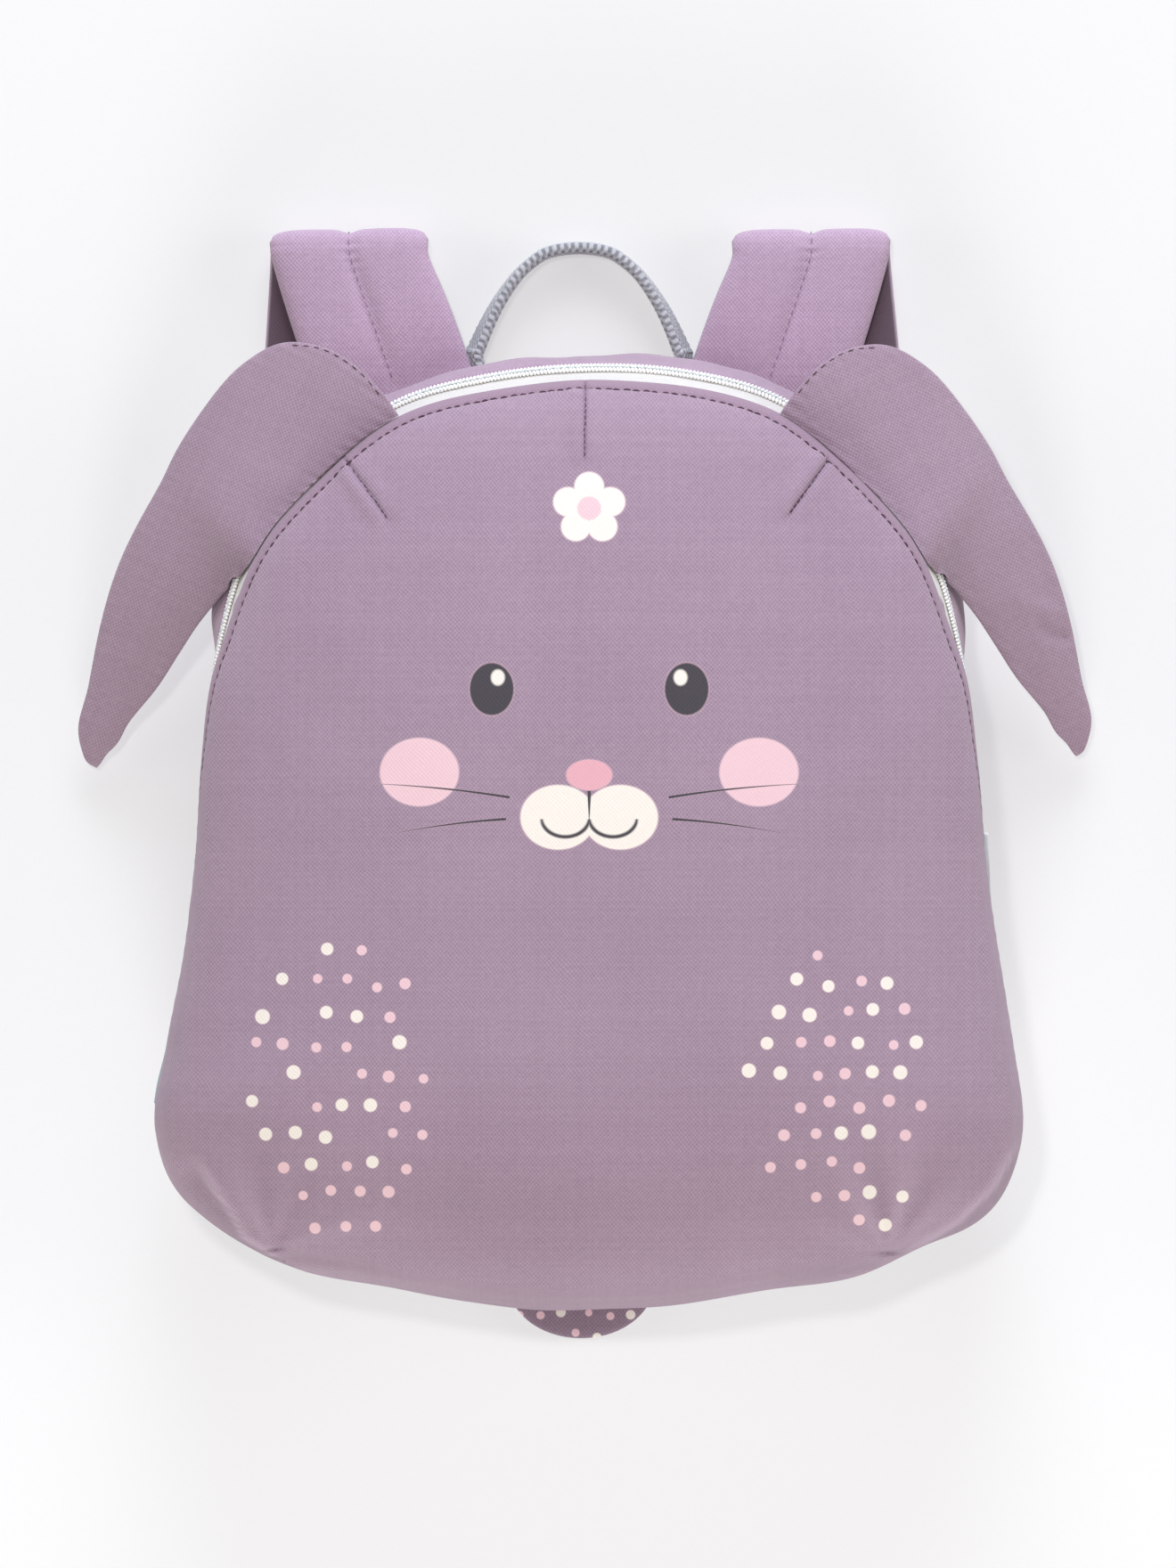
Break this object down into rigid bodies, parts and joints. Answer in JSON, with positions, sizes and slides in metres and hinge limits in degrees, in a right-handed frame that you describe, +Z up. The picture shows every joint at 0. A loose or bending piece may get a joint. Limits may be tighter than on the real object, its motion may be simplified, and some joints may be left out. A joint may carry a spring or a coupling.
{
  "type": "kids animal backpack",
  "caption": "Small zipped child's backpack shaped as a lop-eared rabbit, with domed front, stuffed ears and tail, padded straps folded under it, side label and grab handle.",
  "frame": {"origin": "middle of the bag's bounding box, on the surface that it lies on", "axes": "+Z up, out of the front panel of the bag as it lies on its back; +Y towards its top with the grab handle; +X to the viewer's right"},
  "size_m": [0.2876, 0.3164, 0.1057],
  "materials": {
    "lilac_fabric": "matt woven polyester, lilac",
    "back_mesh": "matt padded fabric, darker lilac",
    "zip_white": "white woven zip tape and coil",
    "zip_metal": "white enamelled slider and pull",
    "webbing_grey": "grey woven webbing",
    "adjuster_grey": "grey moulded plastic",
    "label_teal": "teal woven label, blank"
  },
  "bodies": {
    "root": {"front_panel": "lilac_fabric", "zip_tape": "zip_white", "zip_coil": "zip_white", "zip_slider": "zip_metal", "zip_pull": "zip_metal", "top_gusset": "lilac_fabric", "base_gusset": "lilac_fabric", "back_panel": "back_mesh", "side_label": "label_teal", "tail": "lilac_fabric", "grab_handle": "webbing_grey", "ear_left": "lilac_fabric", "ear_right": "lilac_fabric", "shoulder_strap_left": "lilac_fabric", "adjuster_left": "adjuster_grey", "webbing_left": "webbing_grey", "shoulder_strap_right": "lilac_fabric", "adjuster_right": "adjuster_grey", "webbing_right": "webbing_grey"}
  },
  "joints": []
}
